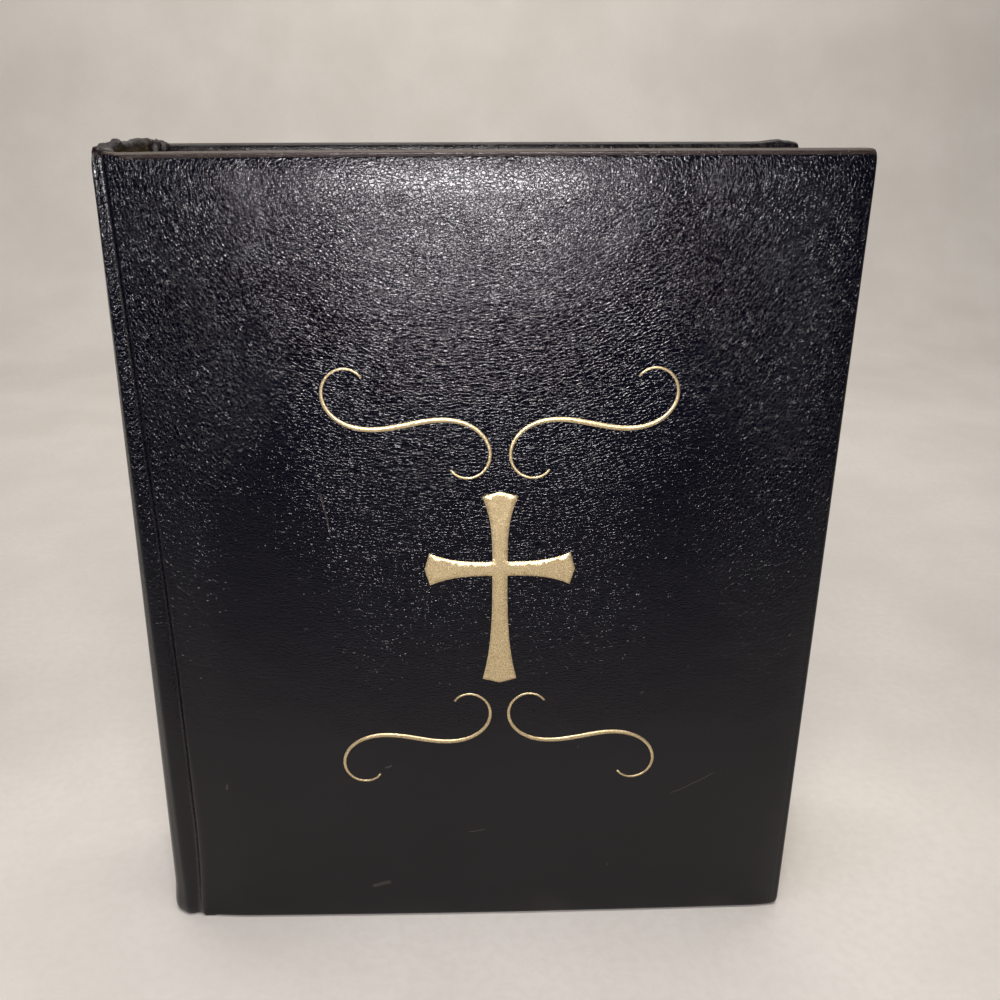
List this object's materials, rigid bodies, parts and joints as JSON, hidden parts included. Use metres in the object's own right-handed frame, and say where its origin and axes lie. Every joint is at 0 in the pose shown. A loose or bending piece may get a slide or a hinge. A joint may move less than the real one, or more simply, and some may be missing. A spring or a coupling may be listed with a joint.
{
  "type": "bible",
  "caption": "Large family Bible in a padded black leather case binding, with opening covers, hinged joints and a text block that fans open.",
  "frame": {"origin": "on the ground, under the middle of the book, which stands on its tail edges", "axes": "+X from the spine to the fore edge, +Y from the front cover to the back cover, +Z from tail to head"},
  "size_m": [0.2398, 0.0774, 0.286],
  "materials": {
    "black_leather": "pebbled, semi-gloss, rubbed brown at the edges",
    "board": "dense grey-brown binder's board",
    "card": "flexible spine card",
    "wadding": "soft white wadding",
    "endpaper": "heavy cream endpaper",
    "pages": "thin cream paper with gilt edges",
    "mull": "open gauze, glued",
    "tape": "woven cotton tape",
    "kraft_paper": "brown kraft paper",
    "woven_band": "woven band of gold and black thread",
    "gold_foil": "stamped pale gold foil, slightly granular"
  },
  "bodies": {
    "spine": {"spine_leather": "black_leather", "spine_inlay": "card"},
    "front_joint": {"front_joint_leather": "black_leather"},
    "back_joint": {"back_joint_leather": "black_leather"},
    "front_cover": {"front_cover_leather": "black_leather", "front_board": "board", "front_padding": "wadding", "front_pastedown": "endpaper", "cover_ornament": "gold_foil"},
    "back_cover": {"back_cover_leather": "black_leather", "back_board": "board", "back_padding": "wadding", "back_pastedown": "endpaper"},
    "text_core": {"super": "mull", "spine_liner": "kraft_paper", "sewing_tapes": "tape", "headband": "woven_band", "tailband": "woven_band"},
    "front_section_1": {"front_section_1": "pages"},
    "front_section_2": {"front_section_2": "pages"},
    "front_section_3": {"front_section_3": "pages"},
    "front_section_4": {"front_section_4": "pages"},
    "front_flyleaf": {"front_flyleaf": "endpaper"},
    "back_section_1": {"back_section_1": "pages"},
    "back_section_2": {"back_section_2": "pages"},
    "back_section_3": {"back_section_3": "pages"},
    "back_section_4": {"back_section_4": "pages"},
    "back_flyleaf": {"back_flyleaf": "endpaper"}
  },
  "joints": [
    {"name": "text_lift", "type": "slide", "parent": "spine", "child": "text_core", "axis": [1, 0, 0], "range_m": [0, 0.0246]},
    {"name": "book_open", "type": "hinge", "parent": "text_core", "child": "front_section_4", "pos_m": [-0.11355, 0, 0], "axis": [0, 0, -1], "range_deg": [0, 70], "deforming": ["super", "spine_liner", "sewing_tapes", "headband", "tailband"]},
    {"name": "front_fan_3", "type": "hinge", "parent": "text_core", "child": "front_section_3", "pos_m": [-0.11355, 0, 0], "axis": [0, 0, -1], "range_deg": [0, 66]},
    {"name": "front_fan_2", "type": "hinge", "parent": "text_core", "child": "front_section_2", "pos_m": [-0.11355, 0, 0], "axis": [0, 0, -1], "range_deg": [0, 61.8]},
    {"name": "front_fan_1", "type": "hinge", "parent": "text_core", "child": "front_section_1", "pos_m": [-0.11355, 0, 0], "axis": [0, 0, -1], "range_deg": [0, 57.6]},
    {"name": "front_joint_flex", "type": "hinge", "parent": "spine", "child": "front_joint", "pos_m": [-0.1118, -0.031, 0], "axis": [0, 0, -1], "range_deg": [0, 70.2]},
    {"name": "front_cover_hinge", "type": "hinge", "parent": "front_joint", "child": "front_cover", "pos_m": [-0.10405, -0.03, 0], "axis": [0, 0, -1], "range_deg": [-1.5, 90]},
    {"name": "front_flyleaf_hinge", "type": "hinge", "parent": "front_section_4", "child": "front_flyleaf", "pos_m": [-0.09955, -0.02645, 0], "axis": [0, 0, -1], "range_deg": [-0.2, 11.8]},
    {"name": "back_fan_4", "type": "hinge", "parent": "text_core", "child": "back_section_4", "pos_m": [-0.11355, 0, 0], "axis": [0, 0, 1], "range_deg": [0, 70.2]},
    {"name": "back_fan_3", "type": "hinge", "parent": "text_core", "child": "back_section_3", "pos_m": [-0.11355, 0, 0], "axis": [0, 0, 1], "range_deg": [0, 66]},
    {"name": "back_fan_2", "type": "hinge", "parent": "text_core", "child": "back_section_2", "pos_m": [-0.11355, 0, 0], "axis": [0, 0, 1], "range_deg": [0, 61.8]},
    {"name": "back_fan_1", "type": "hinge", "parent": "text_core", "child": "back_section_1", "pos_m": [-0.11355, 0, 0], "axis": [0, 0, 1], "range_deg": [0, 57.6]},
    {"name": "back_joint_flex", "type": "hinge", "parent": "spine", "child": "back_joint", "pos_m": [-0.1118, 0.031, 0], "axis": [0, 0, 1], "range_deg": [0, 70.2]},
    {"name": "back_cover_hinge", "type": "hinge", "parent": "back_joint", "child": "back_cover", "pos_m": [-0.10405, 0.03, 0], "axis": [0, 0, 1], "range_deg": [-1.5, 90]},
    {"name": "back_flyleaf_hinge", "type": "hinge", "parent": "back_section_4", "child": "back_flyleaf", "pos_m": [-0.09955, 0.02645, 0], "axis": [0, 0, 1], "range_deg": [-0.2, 11.8]}
  ],
  "couplings": [
    {"joint": "text_lift", "follows": "book_open", "m_per_rad": 0.020054},
    {"joint": "front_fan_3", "follows": "book_open", "ratio": 0.94},
    {"joint": "front_fan_2", "follows": "book_open", "ratio": 0.88},
    {"joint": "front_fan_1", "follows": "book_open", "ratio": 0.82},
    {"joint": "front_joint_flex", "follows": "book_open", "ratio": 1},
    {"joint": "front_flyleaf_hinge", "follows": "front_cover_hinge", "ratio": 0.13},
    {"joint": "back_fan_4", "follows": "book_open", "ratio": 1},
    {"joint": "back_fan_3", "follows": "book_open", "ratio": 0.94},
    {"joint": "back_fan_2", "follows": "book_open", "ratio": 0.88},
    {"joint": "back_fan_1", "follows": "book_open", "ratio": 0.82},
    {"joint": "back_joint_flex", "follows": "book_open", "ratio": 1},
    {"joint": "back_flyleaf_hinge", "follows": "back_cover_hinge", "ratio": 0.13}
  ]
}
